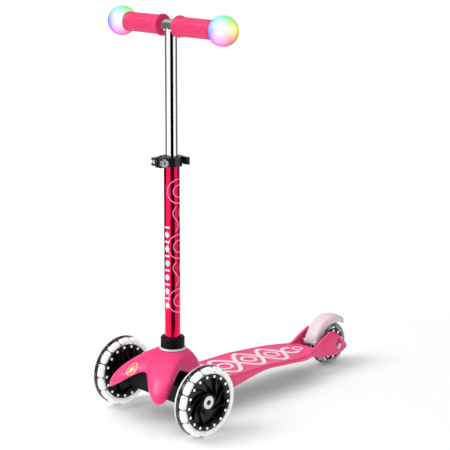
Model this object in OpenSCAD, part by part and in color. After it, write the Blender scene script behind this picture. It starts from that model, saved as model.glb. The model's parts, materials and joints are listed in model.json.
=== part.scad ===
// Three-wheeled lean-to-steer kick scooter for small children.
// Millimetres. +Z is up, the scooter faces -Y, +X is the rider's left hand side.
// The origin is on the ground under the middle of the scooter's footprint.

/* [Wheels] */
// Diameter of the two front wheels
front_wheel_d = 120; // [118:1:122]
// Diameter of the rear wheel
rear_wheel_d = 80; // [78:1:80]
// Width of every tyre
tyre_w = 24; // [22:1:24]
// Distance between the middles of the two front tyres
track = 206; // [206:1:214]
// Distance from the front axle back to the rear axle
wheelbase = 412; // [408:1:414]

/* [Handlebar] */
// Height of the crossbar's axis with the bar at its usual setting
bar_h = 653; // [560:1:660]
// Distance between the middles of the two light balls
ball_span = 238; // [238:1:240]
// Diameter of each light ball
ball_d = 48; // [47:0.5:48]
// Diameter of the chrome height tube
chrome_d = 20; // [18:0.5:20]
// Outer diameter of the painted lower tube
stem_d = 26; // [25:0.5:27]

/* [Deck] */
// Width of the deck where the child stands
deck_w = 97; // [90:1:100]
// Height of the flat standing surface
deck_top = 57.5; // [57:0.5:58]

/* [Hidden] */
$fn = 64;

// Clearance of a turning or sliding fit, and the gap between fixed neighbours
run_gap = 0.05;
easy_gap = 0.3;

// The arms of the head cover reach this far ahead of the front axle
arm_reach = 66.2;
// Sum that puts the origin under the middle of the scooter's length
front_y = (arm_reach - wheelbase - rear_wheel_d / 2) / 2;
front_r = front_wheel_d / 2;
rear_r = rear_wheel_d / 2;
chrome_r = chrome_d / 2;
stem_r = stem_d / 2;
wheel_x = track / 2;
axle_r = 4;
bearing_r = 11;
bearing_w = 7;
// Distance from the front axle back to the handlebar tube
stem_back = 24;
// Height of the lengthwise axis that the head leans about, and the radius of its bores
lean_h = 62;
lean_r = 5;
// Each upright steering pin stands this far from the middle
king_x = 76;

// Heights along the steering column
tube_foot_h = 84;
cover_top_h = 119.5;
ring_top_h = 122.4;
collar_top_h = 140;
tube_top_h = 436;
clamp_foot_h = 428.5;
clamp_top_h = 444.5;
clamp_mid_h = (clamp_foot_h + clamp_top_h) / 2;
clamp_r = 17.4;
// How far the quick-release bolt stands ahead of the tube, and its lever's pin beside it
clamp_bolt_back = -24;
lever_pin_x = 13;

// The drive peg turns the lean into a sideways push on the tie rod
steer_arm = 26;
steer_ratio = 10 / 12;
peg_drop = steer_arm * steer_ratio;
peg_h = lean_h - peg_drop;
rod_h = 40;

module at_front() { translate([0, front_y, 0]) children(); }
module at_stem() { translate([0, front_y + stem_back, 0]) children(); }
module at_rear_hub() { translate([0, wheelbase, rear_r]) children(); }
module at_rear_axle() { at_front() at_rear_hub() children(); }
module along_x() { rotate([0, 90, 0]) children(); }
module along_y() { rotate([-90, 0, 0]) children(); }
// A hole right across the scooter
module cross_hole(r) { translate([-50, 0, 0]) along_x() cylinder(r = r, h = 100); }
module ring(outer, inner, h) {
    difference() {
        cylinder(r = outer, h = h);
        translate([0, 0, -1]) cylinder(r = inner, h = h + 2);
    }
}
// A side view (distance back, height) pushed out sideways to a width, centred on x = 0
module side_plate(points, w) {
    rotate([90, 0, 90]) translate([0, 0, -w / 2]) linear_extrude(w) polygon(points);
}
module both_sides() {
    children();
    mirror([1, 0, 0]) children();
}

// ---- Curves -------------------------------------------------------------
function spline_point(a, b, c, d, t) =
    0.5 * (2 * b + (c - a) * t + (2 * a - 5 * b + 4 * c - d) * t * t
    + (3 * b - a - 3 * c + d) * t * t * t);
function bezier_point(a, b, c, d, t) =
    pow(1 - t, 3) * a + 3 * pow(1 - t, 2) * t * b + 3 * (1 - t) * t * t * c + pow(t, 3) * d;
function unit(v) = v / norm(v);
// Faces of a closed tube of rings: count rings of side points each
function tube_faces(count, sides) = [
    for (i = [0 : count - 2], j = [0 : sides - 1])
        [i * sides + j, i * sides + (j + 1) % sides,
        (i + 1) * sides + (j + 1) % sides, (i + 1) * sides + j]];

// Round wire wound into a spring that stands on z = 0
module coil_spring(radius, wire_r, height, turns) {
    sides = 8;
    steps = 12 * turns;
    rise = height - 2 * wire_r;
    points = [for (i = [0 : steps], j = [0 : sides - 1])
        let (turn = 360 * turns * i / steps, a = 360 * j / sides, reach = radius + wire_r * cos(a))
        [reach * cos(turn), reach * sin(turn), wire_r + rise * i / steps + wire_r * sin(a)]];
    last = steps * sides;
    ends = [[for (j = [0 : sides - 1]) sides - 1 - j], [for (j = [0 : sides - 1]) last + j]];
    polyhedron(points, concat([for (f = tube_faces(steps + 1, sides)) [f[3], f[2], f[1], f[0]]],
        [for (e = ends) [for (k = [sides - 1 : -1 : 0]) e[k]]]));
}

// ---- Deck and rear frame ------------------------------------------------
// Half of the deck's plan outline: distance behind the front axle, half width
deck_half = deck_w / 2;
deck_plan = [[72, 34], [76, 39], [84, 44], [98, deck_half - 1.5], [120, deck_half], [284, deck_half],
    [300, deck_half - 2], [316, 42], [332, 35.5], [346, 31], [352, 30]];
// Side view of the deck: the standing surface, then back along the underside
deck_side = [[70, 67.5], [80, 65.5], [90, 62.6], [100, 60.2], [111, 58.4], [124, deck_top],
    [195, deck_top], [285, 50], [320, 47.5], [352, 47], [352, 36], [320, 38], [300, 41], [280, 43.5],
    [240, 47], [215, 49.5], [200, 49.5], [180, 47.5], [160, 44.5], [140, 40.5], [120, 38],
    [100, 39.5], [85, 43], [70, 50]];
deck_skin = 4.5;
rib_w = 2.5;
// Side view of the plates that carry the rear axle
rear_plate = [[340, 47], [352, 55], [361, 60], [378, 67.5], [386, 70.5], [393, 71], [400, 69.5],
    [407, 64], [420, 52], [430, 42], [433, 37], [431, 33], [420, 27.5], [406, 25], [385, 26.5],
    [353, 31], [340, 37]];
plate_outer_x = 30;
plate_inner_x = 24;
pocket_r = 6;
pocket_deep = 3.2;
pocket_reach = [-6, 9];

module deck_outline(inset) {
    polygon(concat([for (p = deck_plan) [p[1] - inset, p[0]]],
        [for (i = [len(deck_plan) - 1 : -1 : 0]) [inset - deck_plan[i][1], deck_plan[i][0]]]));
}
module deck_hollow() {
    intersection() {
        translate([0, 4, 0]) linear_extrude(100) deck_outline(4);
        translate([0, 0, -deck_skin]) side_plate(concat([for (i = [0 : 9]) deck_side[i]],
            [[352, 0], [70, 0]]), deck_w + 2);
        translate([-deck_w / 2, 70, 0]) cube([deck_w, 262, 100]);
    }
}
module deck_ribs() {
    intersection() {
        union() {
            for (x = [-24, 0, 24]) translate([x - rib_w / 2, 126, 0]) cube([rib_w, 210, 100]);
            for (y = [126 : 40 : 326]) translate([-deck_w / 2, y, 0]) cube([deck_w, rib_w, 100]);
        }
        linear_extrude(100) deck_outline(1);
        translate([0, 0, 2]) side_plate(deck_side, deck_w);
        translate([0, 0, -2]) side_plate(deck_side, deck_w);
    }
}
module deck() {
    color("#ff5c98") at_front() {
        difference() {
            union() {
                difference() {
                    intersection() {
                        linear_extrude(100) deck_outline(0);
                        side_plate(deck_side, deck_w + 2);
                    }
                    deck_hollow();
                }
                deck_ribs();
                both_sides() translate([(plate_outer_x + plate_inner_x) / 2, 0, 0])
                    side_plate(rear_plate, plate_outer_x - plate_inner_x);
            }
            // Room for the tongue of the axle carrier
            translate([-tongue_half - easy_gap, 60, 0])
                cube([2 * (tongue_half + easy_gap), 64, tongue_top]);
            at_rear_hub() cross_hole(axle_r + run_gap);
            translate([0, brake_back, brake_h]) cross_hole(brake_pin_r + run_gap);
            // Long pockets that the ends of the rear axle sit in
            both_sides() at_rear_hub() translate([plate_outer_x - pocket_deep, 0, 0]) hull()
                for (p = [[0, 0], pocket_reach]) translate([0, p[0], p[1]])
                along_x() cylinder(r = pocket_r, h = 10);
        }
    }
}

// ---- Front axle carrier -------------------------------------------------
beam_half = 64;
boss_r = 9;
boss_foot = 52.3;
boss_top = 71.7;
rail_inner = 23;
rail_outer = 32;
rail_top = 70;
rail_foot = 48;
lug_back = 46;
lug_t = 8;
beam_front = -12;
beam_top = 74;
// The skirts hang under the front of the beam on both sides
skirt_foot = 43.5;
skirt_in = 18;
// The tongue goes under the deck and is held by four screws
tongue_half = 22;
tongue_top = 53;
tongue_foot = 43;
screw_x = [-14, 14];
screw_y = [88, 112];

module axle_carrier() {
    color("#26262a") at_front() difference() {
        union() {
            translate([-beam_half, beam_front, boss_foot])
                cube([2 * beam_half, 23, beam_top - boss_foot]);
            both_sides() {
                translate([skirt_in, beam_front, skirt_foot])
                    cube([beam_half - skirt_in - 1, 6, boss_foot - skirt_foot + 1]);
                translate([king_x, 0, boss_foot]) cylinder(r = boss_r, h = boss_top - boss_foot);
                translate([beam_half - 1, -boss_r + 1, boss_foot])
                    cube([king_x - beam_half, 2 * boss_r - 2, boss_top - boss_foot]);
                translate([rail_inner, 10, rail_foot])
                    cube([rail_outer - rail_inner, lug_back - 2, rail_top - rail_foot]);
            }
            translate([-rail_inner - 1, lug_back, rail_foot])
                cube([2 * rail_inner + 2, lug_t, rail_top - rail_foot]);
            translate([0, lug_back, lean_h]) along_y() cylinder(r = 10.5, h = lug_t);
            translate([-tongue_half, lug_back + 4, tongue_foot])
                cube([2 * tongue_half, 73, tongue_top - tongue_foot]);
        }
        both_sides() translate([king_x, 0, 0]) cylinder(r = axle_r + run_gap, h = 100);
        translate([0, -20, lean_h]) along_y() cylinder(r = lean_r, h = 90);
        for (x = screw_x, y = screw_y) translate([x, y, 40]) cylinder(r = 2.2, h = 20);
        // Room for the tie rod's yoke between the rails
        translate([-rail_inner, 11, 40]) cube([2 * rail_inner, lug_back - 11, 12.4]);
    }
}
module carrier_screws() {
    color("#8c8f94") at_front() for (x = screw_x, y = screw_y) translate([x, y, 40.4]) difference() {
        union() {
            cylinder(r = 4, h = 2.6);
            cylinder(r = 2.1, h = 12.4);
        }
        translate([0, 0, -1]) cylinder(r = 1.6, h = 2.4, $fn = 6);
    }
}
module lean_bolt() {
    color("#9a9da2") at_front() translate([0, -16, lean_h]) along_y() difference() {
        union() {
            cylinder(r = 8, h = 4);
            cylinder(r = lean_r - run_gap, h = 75);
        }
        translate([0, 0, -1]) cylinder(r = 3, h = 4, $fn = 6);
    }
}
module lean_nut() {
    color("#9a9da2") at_front() translate([0, lug_back + lug_t, lean_h]) along_y() difference() {
        cylinder(r = 8.5, h = 4.6, $fn = 6);
        translate([0, 0, -1]) cylinder(r = lean_r, h = 8);
    }
}
module king_pins() {
    color("#9a9da2") at_front() both_sides() translate([king_x, 0, 0]) {
        translate([0, 0, 43]) cylinder(r = axle_r, h = 36.6);
        translate([0, 0, knuckle_top + easy_gap]) cylinder(r = 6, h = 2.2);
    }
}
spring_x = 28;
flange_h = 84;
module lean_spring(side) {
    color("#c9ccd0") at_front() translate([side * spring_x, 38, rail_top])
        coil_spring(3.4, 0.7, flange_h - rail_top, 5);
}

// ---- Knuckles and tie rod -----------------------------------------------
knuckle_foot = 45;
knuckle_top = 79;
wall_t = 3.3;
wall_x = king_x + 10.2;
module knuckle() {
    plate_z = [[knuckle_foot, boss_foot - 0.4], [boss_top + 0.4, knuckle_top]];
    color("#26262a") at_front() difference() {
        union() {
            for (z = plate_z) translate([0, 0, z[0]]) {
                translate([king_x, 0, 0]) cylinder(r = boss_r, h = z[1] - z[0]);
                translate([king_x, -boss_r, 0])
                    cube([wall_x + wall_t - king_x, 2 * boss_r, z[1] - z[0]]);
            }
            translate([wall_x, -boss_r, knuckle_foot])
                cube([wall_t, 2 * boss_r, knuckle_top - knuckle_foot]);
            translate([king_x - 5, 0, knuckle_foot]) cube([10, steer_arm, 6]);
            translate([king_x, steer_arm, knuckle_foot]) cylinder(r = 5, h = 6);
            translate([king_x, steer_arm, 35]) cylinder(r = 2.5, h = 12);
        }
        translate([king_x, 0, 0]) cylinder(r = axle_r + run_gap, h = 100);
        translate([king_x, 0, front_r]) along_x() cylinder(r = axle_r, h = 30);
    }
}
module front_axle() {
    shoulder = wall_x + wall_t;
    hub = wheel_x - hub_w / 2;
    tip = wheel_x + tyre_w / 2 - 1;
    color("#3a3a3e") at_front() translate([0, 0, front_r]) difference() {
        union() {
            translate([wall_x, 0, 0]) along_x() cylinder(r = axle_r, h = tip - wall_x);
            translate([shoulder, 0, 0]) along_x() cylinder(r = 6.4, h = hub - shoulder);
        }
        translate([tip - 3, 0, 0]) along_x() cylinder(r = 2, h = 8, $fn = 6);
    }
}
module tie_rod() {
    slot = 2.5 + run_gap;
    color("#3a3a3e") at_front() difference() {
        union() {
            translate([-king_x, steer_arm - 4, rod_h - 4.5]) cube([2 * king_x, 8, 9]);
            both_sides() translate([king_x, steer_arm, rod_h - 4.5]) cylinder(r = 5.5, h = 9);
            translate([-12, steer_arm - 6, rod_h - 4.5]) cube([24, 12, 9]);
        }
        both_sides() translate([king_x, steer_arm, 0]) {
            for (y = [-0.8, 0]) translate([0, y, 0]) cylinder(r = slot, h = 100);
            translate([-slot, -0.8, 0]) cube([2 * slot, 0.8, 100]);
        }
        translate([-axle_r - run_gap, 0, rod_h - 4.6 + 0.8]) cube([2 * axle_r + 2 * run_gap, 60, 20]);
    }
}

// ---- Leaning head -------------------------------------------------------
// Lower edge of the head cover, front middle to back middle: sideways, back from the front
// axle, height; then direction round the neck, lift and push of the flank, and shoulder reach
cover_rim = [[0, -38, 92, 0, 10, 2, 10], [11, -43, 88, 16, 12, 2, 12], [24, -53, 79, 28, 16, 3, 16],
    [37, -61, 69, 36, 20, 4, 22], [50, -66, 61, 42, 24, 5, 27], [61, -64, 57, 48, 26, 5, 28],
    [67, -54, 60, 54, 25, 5, 27], [64, -41, 68, 60, 20, 4, 24], [57, -26, 80, 66, 15, 3, 18],
    [49, -10, 92, 74, 10, 2, 13], [42, 4, 95, 83, 10, 2, 10], [40, 18, 88, 94, 14, 3, 8],
    [41, 34, 81, 108, 18, 3, 8], [38, 50, 78, 126, 20, 3, 8], [27, 62, 77, 146, 20, 3, 8],
    [13, 69, 77, 165, 20, 3, 8], [0, 71, 77, 180, 20, 3, 8]];
neck_r = 21;
cover_skin = 2.5;
rim_steps = 2;
flank_steps = 8;
rim_last = len(cover_rim) - 1;

function flip(p) = [-p[0], p[1], p[2], -p[3], p[4], p[5], p[6]];
function flip_back(p) = [-p[0], p[1], p[2], 360 - p[3], p[4], p[5], p[6]];
function rim_knot(i) = i < 0 ? flip(cover_rim[-i])
    : i > rim_last ? flip_back(cover_rim[2 * rim_last - i]) : cover_rim[i];
half_rim = [for (i = [0 : rim_last - 1], k = [0 : rim_steps - 1])
    spline_point(rim_knot(i - 1), rim_knot(i), rim_knot(i + 1), rim_knot(i + 2), k / rim_steps)];
whole_rim = concat(half_rim, [cover_rim[rim_last]],
    [for (i = [len(half_rim) - 1 : -1 : 1]) flip(half_rim[i])]);
function cover_flank(p) = let (
        way = [sin(p[3]), -cos(p[3])],
        out = unit([p[0], p[1] - stem_back]),
        neck = [0, stem_back] + neck_r * way,
        shoulder = [0, stem_back] + (neck_r + p[6]) * way)
    [for (j = [0 : flank_steps]) bezier_point(
        [neck[0], neck[1], cover_top_h],
        [shoulder[0], shoulder[1], cover_top_h - 1 - 0.22 * p[6]],
        [p[0] + out[0] * p[5], p[1] + out[1] * p[5], p[2] + p[4]],
        [p[0], p[1], p[2]], j / flank_steps)];
cover_outside = [for (p = whole_rim) cover_flank(p)];
cover_columns = len(cover_outside);
function cover_at(i, j) = cover_outside[(i + cover_columns) % cover_columns][max(0, min(flank_steps, j))];
function cover_normal(i, j) =
    unit(cross(cover_at(i, j + 1) - cover_at(i, j - 1), cover_at(i + 1, j) - cover_at(i - 1, j)));
cover_inside = [for (i = [0 : cover_columns - 1])
    [for (j = [0 : flank_steps]) cover_at(i, j) - cover_skin * cover_normal(i, j)]];

module head_cover() {
    row = flank_steps + 1;
    shell = cover_columns * row;
    points = concat([for (c = cover_outside, p = c) p], [for (c = cover_inside, p = c) p]);
    function at(i, j) = (i % cover_columns) * row + j;
    outer = [for (i = [0 : cover_columns - 1], j = [0 : flank_steps - 1], half = [0, 1])
        half == 0 ? [at(i, j), at(i, j + 1), at(i + 1, j + 1)]
        : [at(i, j), at(i + 1, j + 1), at(i + 1, j)]];
    inner = [for (f = outer) [f[2] + shell, f[1] + shell, f[0] + shell]];
    edges = [for (i = [0 : cover_columns - 1], half = [0, 1], j = [0, flank_steps])
        let (a = at(i, j), b = at(i + 1, j),
            face = half == 0 ? [a, b, b + shell] : [a, b + shell, a + shell])
        j == 0 ? face : [face[2], face[1], face[0]]];
    color("#ff5c98") at_front() polyhedron(points, concat(outer, inner, edges), convexity = 6);
}
socket_r = 18;
module head_core() {
    hub_front = 11.6;
    hub_l = lug_back - 0.6 - hub_front;
    color("#26262a") at_front() difference() {
        union() {
            translate([0, hub_front, lean_h]) along_y() cylinder(r = 12, h = hub_l);
            translate([-14, hub_front + 0.4, lean_h]) cube([28, hub_l - 0.4, 19]);
            translate([0, stem_back, 80]) cylinder(r = socket_r, h = cover_top_h - 80);
            translate([-33, 32, flange_h]) cube([66, 13, 5]);
            translate([-2.6, steer_arm - 4, peg_h]) cube([5.2, 8, lean_h - peg_h]);
            translate([0, steer_arm - 7, peg_h]) along_y() cylinder(r = axle_r, h = 14);
        }
        translate([0, 0, lean_h]) along_y() cylinder(r = lean_r, h = 80);
        translate([0, stem_back, tube_foot_h]) cylinder(r = stem_r, h = 60);
    }
}
module dust_ring() {
    color("#f4e9ef") at_stem() translate([0, 0, cover_top_h]) difference() {
        cylinder(r1 = 22.4, r2 = 21.6, h = ring_top_h - cover_top_h, $fn = 96);
        translate([0, 0, -1]) cylinder(r = stem_r + run_gap, h = 10);
    }
}
button_h = 131.5;
button_r = 4.4;
module stem_collar() {
    wall = 20 - stem_r;
    color("#1d1d20") at_stem() difference() {
        rotate_extrude($fn = 96) polygon([[stem_r + run_gap, ring_top_h], [19.4, ring_top_h],
            [20, ring_top_h + 0.8], [20, collar_top_h - 1.6], [18.6, collar_top_h],
            [stem_r + run_gap, collar_top_h]]);
        translate([0, stem_r - 1, button_h]) along_y() cylinder(r = button_r + run_gap, h = wall + 4);
    }
}
module release_button() {
    color("#c8ccd2") at_stem() translate([0, 16.2, button_h]) along_y() rotate_extrude()
        polygon([[0, 0], [button_r, 0], [button_r, 5], [button_r - 0.9, 6], [0, 6.2]]);
}
module lower_tube() {
    color("#d01050") at_stem() difference() {
        translate([0, 0, tube_foot_h]) cylinder(r = stem_r, h = tube_top_h - tube_foot_h, $fn = 96);
        translate([0, 0, tube_foot_h - 1]) cylinder(r = 11.4, h = 400, $fn = 96);
        // Slit that lets the clamp close the tube, with a round lower end
        translate([-1.5, -20, 400.5]) cube([3, 14, 50]);
        translate([0, -20, 400.5]) along_y() cylinder(r = 1.5, h = 14);
    }
}
module foot_plug() {
    color("#26262a") at_stem() translate([0, 0, tube_foot_h]) cylinder(r = 11.3, h = 8);
}
module tube_bushing() {
    color("#26262a") at_stem() difference() {
        translate([0, 0, 380]) ring(11.35, chrome_r + run_gap, tube_top_h - 380);
        translate([-1.5, -20, 379]) cube([3, 14, 60]);
    }
}

// ---- Quick-release clamp ------------------------------------------------
module clamp_body() {
    color("#1d1d20") at_stem() difference() {
        union() {
            translate([0, 0, clamp_foot_h]) cylinder(r = clamp_r, h = clamp_top_h - clamp_foot_h, $fn = 96);
            translate([-6.2, -30, clamp_foot_h]) cube([12.4, 18, clamp_top_h - clamp_foot_h]);
        }
        translate([0, 0, clamp_foot_h - 1])
            cylinder(r = stem_r, h = tube_top_h - clamp_foot_h + 1, $fn = 96);
        cylinder(r = chrome_r + easy_gap, h = 500, $fn = 96);
        translate([-1.5, -31, 400]) cube([3, 24, 60]);
        translate([-10, clamp_bolt_back, clamp_mid_h]) along_x() cylinder(r = 3, h = 20);
    }
}
// The bolt and its lever are drawn the other way round: their own +X points to -X
module at_clamp() { at_stem() mirror([1, 0, 0]) translate([0, clamp_bolt_back, clamp_mid_h]) children(); }
eye_r = 4.5;
eye_h = 6;
lever_pin_r = 1.6;
lever_t = 12;
module clamp_bolt() {
    color("#9a9da2") at_clamp() difference() {
        union() {
            translate([-15, 0, 0]) along_x() cylinder(r = 2.9, h = lever_pin_x + 13);
            translate([lever_pin_x, 0, -eye_h / 2]) cylinder(r = eye_r, h = eye_h);
        }
        translate([lever_pin_x, 0, -20]) cylinder(r = lever_pin_r, h = 40);
    }
}
module clamp_nut() {
    color("#b4b7bc") at_clamp() translate([-13, 0, 0]) along_x() difference() {
        union() {
            cylinder(r = 6, h = 5, $fn = 6);
            translate([0, 0, 5]) cylinder(r = 6.6, h = 1.7);
        }
        translate([0, 0, -1]) cylinder(r = 2.95, h = 10);
    }
}
module lever_pin() {
    color("#9a9da2") at_clamp() translate([lever_pin_x, 0, -lever_t / 2 - 0.6])
        cylinder(r = lever_pin_r - run_gap, h = lever_t + 1.2);
}
// The lever's fork holds the pin, its band goes round behind the tube and ends in a thumb rest
band_r = 23.5;
band_t = 4.5;
band_end = [-10.6, 18.4];
thumb_rest = [-17.4, 19.3];
module clamp_lever() {
    color("#1d1d20") at_clamp() difference() {
        translate([0, 0, -lever_t / 2]) linear_extrude(lever_t) {
            translate([lever_pin_x, 0]) circle(r = 6.5);
            translate([0, -clamp_bolt_back]) {
                intersection() {
                    difference() {
                        circle(r = band_r, $fn = 96);
                        circle(r = band_r - band_t, $fn = 96);
                    }
                    polygon([[0, 0], [21, -38], [60, -38], [60, 60], [-34.6, 60]]);
                }
                hull() {
                    translate(band_end) circle(r = band_t / 2);
                    translate(thumb_rest) circle(r = 3.4);
                }
            }
            translate([lever_pin_x + 2, 1]) square([4.5, 9]);
        }
        translate([lever_pin_x, 0, -eye_h / 2 - 0.2]) cylinder(r = 7.4, h = eye_h + 0.4);
        translate([lever_pin_x, 0, -20]) cylinder(r = lever_pin_r, h = 40);
    }
}

// ---- Height tube and handlebar ------------------------------------------
bar_r = 10.5;
grip_in = 17.5;
grip_out = 101;
grip_r = 15.8;
flange_r = 17.6;
ball_x = ball_span / 2;
ball_r = ball_d / 2;
module upper_tube() {
    color("#d8dade") at_stem() difference() {
        translate([0, 0, 290]) ring(chrome_r, chrome_r - 1.5, bar_h - 290);
        translate([-20, 0, bar_h]) along_x() cylinder(r = bar_r, h = 40);
    }
}
module crossbar() {
    color("#d8dade") at_stem() translate([-bar_half, 0, bar_h]) along_x()
        ring(bar_r, bar_r - 1.5, 2 * bar_half);
}
module grip() {
    color("#f23a72") at_stem() translate([0, 0, bar_h]) along_x() rotate_extrude($fn = 96)
        polygon([[bar_r, grip_in], [grip_r, grip_in], [flange_r, grip_in + 1.6],
        [flange_r, grip_in + 4.5], [grip_r + 0.5, grip_in + 6.5], [grip_r, grip_in + 12],
        [grip_r, grip_out - 8], [grip_r + 0.4, grip_out - 1.5], [grip_r, grip_out], [bar_r, grip_out]]);
}
// The lens closes on the base's flange, just outside the grip's end
bar_half = 104;
lens_wall = 1.8;
mouth = grip_out + 0.5;
flange_fit_r = sqrt(pow(ball_r - lens_wall, 2) - pow(ball_x - mouth, 2)) - run_gap;
base_end = bar_half + 2;
module light_base() {
    plug_r = bar_r - 1.6;
    color("#e9d8e4") at_stem() translate([0, 0, bar_h]) along_x() rotate_extrude($fn = 96)
        polygon([[0, bar_half - 12], [plug_r, bar_half - 12], [plug_r, bar_half],
        [bar_r, bar_half], [bar_r, mouth], [flange_fit_r, mouth],
        [flange_fit_r, bar_half + 0.5], [9, base_end], [0, base_end]]);
}
module light_module() {
    color("#f6f6f6") at_stem() translate([0, 0, bar_h]) along_x() rotate_extrude()
        polygon([[0, base_end], [9, base_end], [9, base_end + 2], [4, base_end + 4],
        [4, base_end + 10], [2.4, base_end + 13], [0, base_end + 13.6]]);
}
module light_lens() {
    color("#f4f4ff", 0.6) at_stem() translate([ball_x, 0, bar_h]) along_x() rotate_extrude($fn = 96)
        intersection() {
            difference() {
                circle(r = ball_r, $fn = 96);
                circle(r = ball_r - lens_wall, $fn = 96);
            }
            translate([0, mouth - ball_x]) square([ball_r + 1, 2 * ball_r]);
        }
}

// ---- Wheels -------------------------------------------------------------
// A wheel stands with its axis along x and its middle at the origin
rim_gap = 0.02;
hub_w = tyre_w - 2.4;
hub_r = 15;
rim_w = hub_w - 2;
rim_wall = 7;
web_w = 8;
module wheel_core(outer_r, spokes) {
    window = [outer_r - 24, outer_r * 2.2 / spokes];
    difference() {
        along_x() {
            translate([0, 0, -hub_w / 2]) ring(hub_r, bearing_r, hub_w);
            translate([0, 0, -rim_w / 2]) ring(outer_r, outer_r - rim_wall, rim_w);
            translate([0, 0, -web_w / 2]) ring(outer_r - rim_wall + 1, hub_r - 1, web_w);
        }
        // Slanted windows between the spokes
        for (k = [0 : spokes - 1]) rotate([360 * k / spokes, 0, 0])
            translate([-tyre_w, 0, (outer_r + 9) / 2]) along_x() rotate([0, 0, 35])
            translate(-window / 2) cube([window[0], window[1], 2 * tyre_w]);
    }
}
module wheel_tyre(outer_r, inner_r) {
    tread_r = 14;
    along_x() rotate_extrude($fn = 120) intersection() {
        translate([inner_r, -tyre_w / 2]) square([outer_r, tyre_w]);
        union() {
            translate([inner_r, -tyre_w / 2 + 1]) square([outer_r - inner_r - tread_r / 2, tyre_w - 2]);
            translate([outer_r - tread_r, 0]) circle(r = tread_r, $fn = 96);
        }
    }
}
module wheel_bearings() {
    for (x = [-hub_w / 2, hub_w / 2 - bearing_w]) translate([x, 0, 0]) along_x()
        ring(bearing_r - rim_gap, axle_r + run_gap, bearing_w);
}
// A thin ring on each face of the rim with small lamps standing on it
module wheel_lights(core_r, count) {
    lamp_r = 2.2;
    lamp_at = core_r - 4;
    ring_t = 0.4;
    for (side = [-1, 1]) side_of(side) translate([rim_w / 2, 0, 0]) along_x() {
        ring(lamp_at + 1, lamp_at - 1, ring_t);
        for (k = [0 : count - 1]) rotate([0, 0, 360 * (k + 0.5) / count])
            translate([lamp_at, 0, 0]) cylinder(r = lamp_r, h = 1.6, $fn = 24);
    }
}
front_core_r = 47.5;
rear_core_r = 29;
module at_wheel(side) { at_front() translate([side * wheel_x, 0, front_r]) children(); }
module side_of(side) { if (side > 0) children(); else mirror([1, 0, 0]) children(); }
module front_core(side) { color("#1b1b1e") at_wheel(side) wheel_core(front_core_r, 10); }
module front_tyre(side) { color("#e8ecee", 0.7) at_wheel(side) wheel_tyre(front_r, front_core_r); }
module front_bearings(side) { color("#f2f2f2") at_wheel(side) wheel_bearings(); }
module front_light_ring(side) { color("white") at_wheel(side) wheel_lights(front_core_r, 17); }
module rear_core() { color("#1b1b1e") at_rear_axle() wheel_core(rear_core_r, 8); }
module rear_tyre() { color("#e8ecee", 0.7) at_rear_axle() wheel_tyre(rear_r, rear_core_r); }
module rear_bearings() { color("#f2f2f2") at_rear_axle() wheel_bearings(); }
module rear_light_ring() { color("white") at_rear_axle() wheel_lights(rear_core_r, 11); }
axle_seat = plate_outer_x - pocket_deep;
module rear_axle() {
    head_t = 2.8;
    color("#9a9da2") at_rear_axle() translate([-axle_seat - head_t, 0, 0]) along_x() difference() {
        union() {
            cylinder(r = 5.7, h = head_t);
            cylinder(r = axle_r, h = 2 * axle_seat + 2 * head_t);
        }
        translate([0, 0, -1]) cylinder(r = 2.4, h = 3, $fn = 6);
    }
}
module rear_axle_nut() {
    color("#9a9da2") at_rear_axle() translate([axle_seat, 0, 0]) along_x() ring(5.7, axle_r + run_gap, 2.4);
}
module rear_spacers() {
    hub_half = hub_w / 2 + 0.2;
    color("#26262a") at_rear_axle() both_sides() translate([hub_half, 0, 0]) along_x()
        ring(6.5, axle_r + run_gap, plate_inner_x - hub_half);
}

// ---- Rear brake ---------------------------------------------------------
// The fender is a cap over the rear wheel that swings on a pin in front of the wheel
brake_back = 367;
brake_h = 52;
brake_pin_r = 2.5;
brake_half = 15.5;
brake_wall = 2.2;
// Radius of the hollow under the fender, and of the space it leaves for the wheel
brake_hollow_r = 49.8;
brake_wheel_r = rear_r + 1.5;
// Side view of the fender: distance behind the front axle, height
brake_outer = [[361.5, 54], [362.8, 60.5], [366.2, 67], [370.6, 74], [376.2, 81], [383.6, 87.4],
    [392.6, 92], [403, 94.5], [415, 95], [427, 93], [437, 88.6], [445, 82.6], [450.4, 75.5],
    [449.6, 72], [446.5, 71.4]];
brake_lower = [[439, 76.4], [431, 79.4], [421, 81], [410, 81], [402, 79.8], [396, 77.7],
    [390.2, 74.3], [385, 70], [380.2, 64], [376.5, 57.5], [373, 51.5]];
brake_foot = [[370, 47.6], [364.5, 47.6], [361.5, 50]];
hollow_end = 436;
hollow_foot = 58;
spring_room = 14;
pad_lift = 3.8;
pad_half = 9;
module brake_fender() {
    inner_w = 2 * (brake_half - brake_wall);
    color("#e8cdd8", 0.85) at_front() difference() {
        side_plate(concat(brake_outer, brake_lower, brake_foot), 2 * brake_half);
        intersection() {
            at_rear_hub() translate([-inner_w / 2, 0, 0]) along_x()
                cylinder(r = brake_hollow_r, h = inner_w, $fn = 96);
            translate([-inner_w, 0, hollow_foot]) cube([2 * inner_w, hollow_end, 60]);
        }
        at_rear_hub() translate([-inner_w / 2, 0, 0]) along_x()
            cylinder(r = brake_wheel_r, h = inner_w, $fn = 96);
        translate([0, brake_back, brake_h]) cross_hole(brake_pin_r + run_gap);
        translate([-spring_room / 2, brake_back - 7, brake_h - 7])
            cube([spring_room, 14, 7 + hollow_foot - brake_h]);
    }
}
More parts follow.
